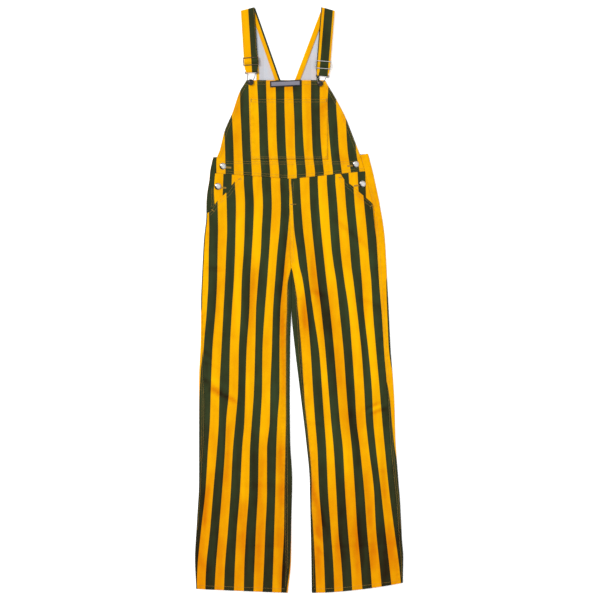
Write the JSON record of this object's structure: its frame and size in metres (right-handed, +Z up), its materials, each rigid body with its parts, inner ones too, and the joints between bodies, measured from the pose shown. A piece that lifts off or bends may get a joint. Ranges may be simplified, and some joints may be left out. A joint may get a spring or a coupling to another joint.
{
  "type": "bib_overalls",
  "caption": "Adult bib overalls in striped twill, laid flat front up with straps folded over and hooked to the bib.",
  "frame": {"origin": "on the resting surface, under the middle of the garment's length and width", "axes": "+X across the garment towards the wearer's left, +Y up the garment towards the straps, +Z up out of the front of the bib"},
  "size_m": [0.5115, 1.4402, 0.0094],
  "materials": {
    "gold_twill": "matte cotton twill, striped gold and dark olive green",
    "green_twill": "the same striped cotton twill, where the green shows",
    "bright_metal": "polished plated steel",
    "dark_metal": "dark bronze, glossy",
    "label_weave": "woven patch, bare"
  },
  "bodies": {
    "root": {"back_left": "green_twill", "back_right": "green_twill", "front_left": "gold_twill", "front_right": "gold_twill", "pocket_bearer_left": "green_twill", "pocket_bearer_right": "green_twill", "bib": "gold_twill", "bib_pocket": "green_twill", "neck_binding_left": "gold_twill", "neck_binding_right": "gold_twill", "strap_left": "green_twill", "strap_right": "green_twill", "slider_left": "bright_metal", "slider_right": "bright_metal", "hook_left": "bright_metal", "hook_right": "bright_metal", "bib_button_left": "dark_metal", "bib_button_right": "dark_metal", "side_button_upper_left": "bright_metal", "side_button_lower_left": "bright_metal", "side_button_upper_right": "bright_metal", "side_button_lower_right": "bright_metal", "label": "label_weave"}
  },
  "joints": []
}
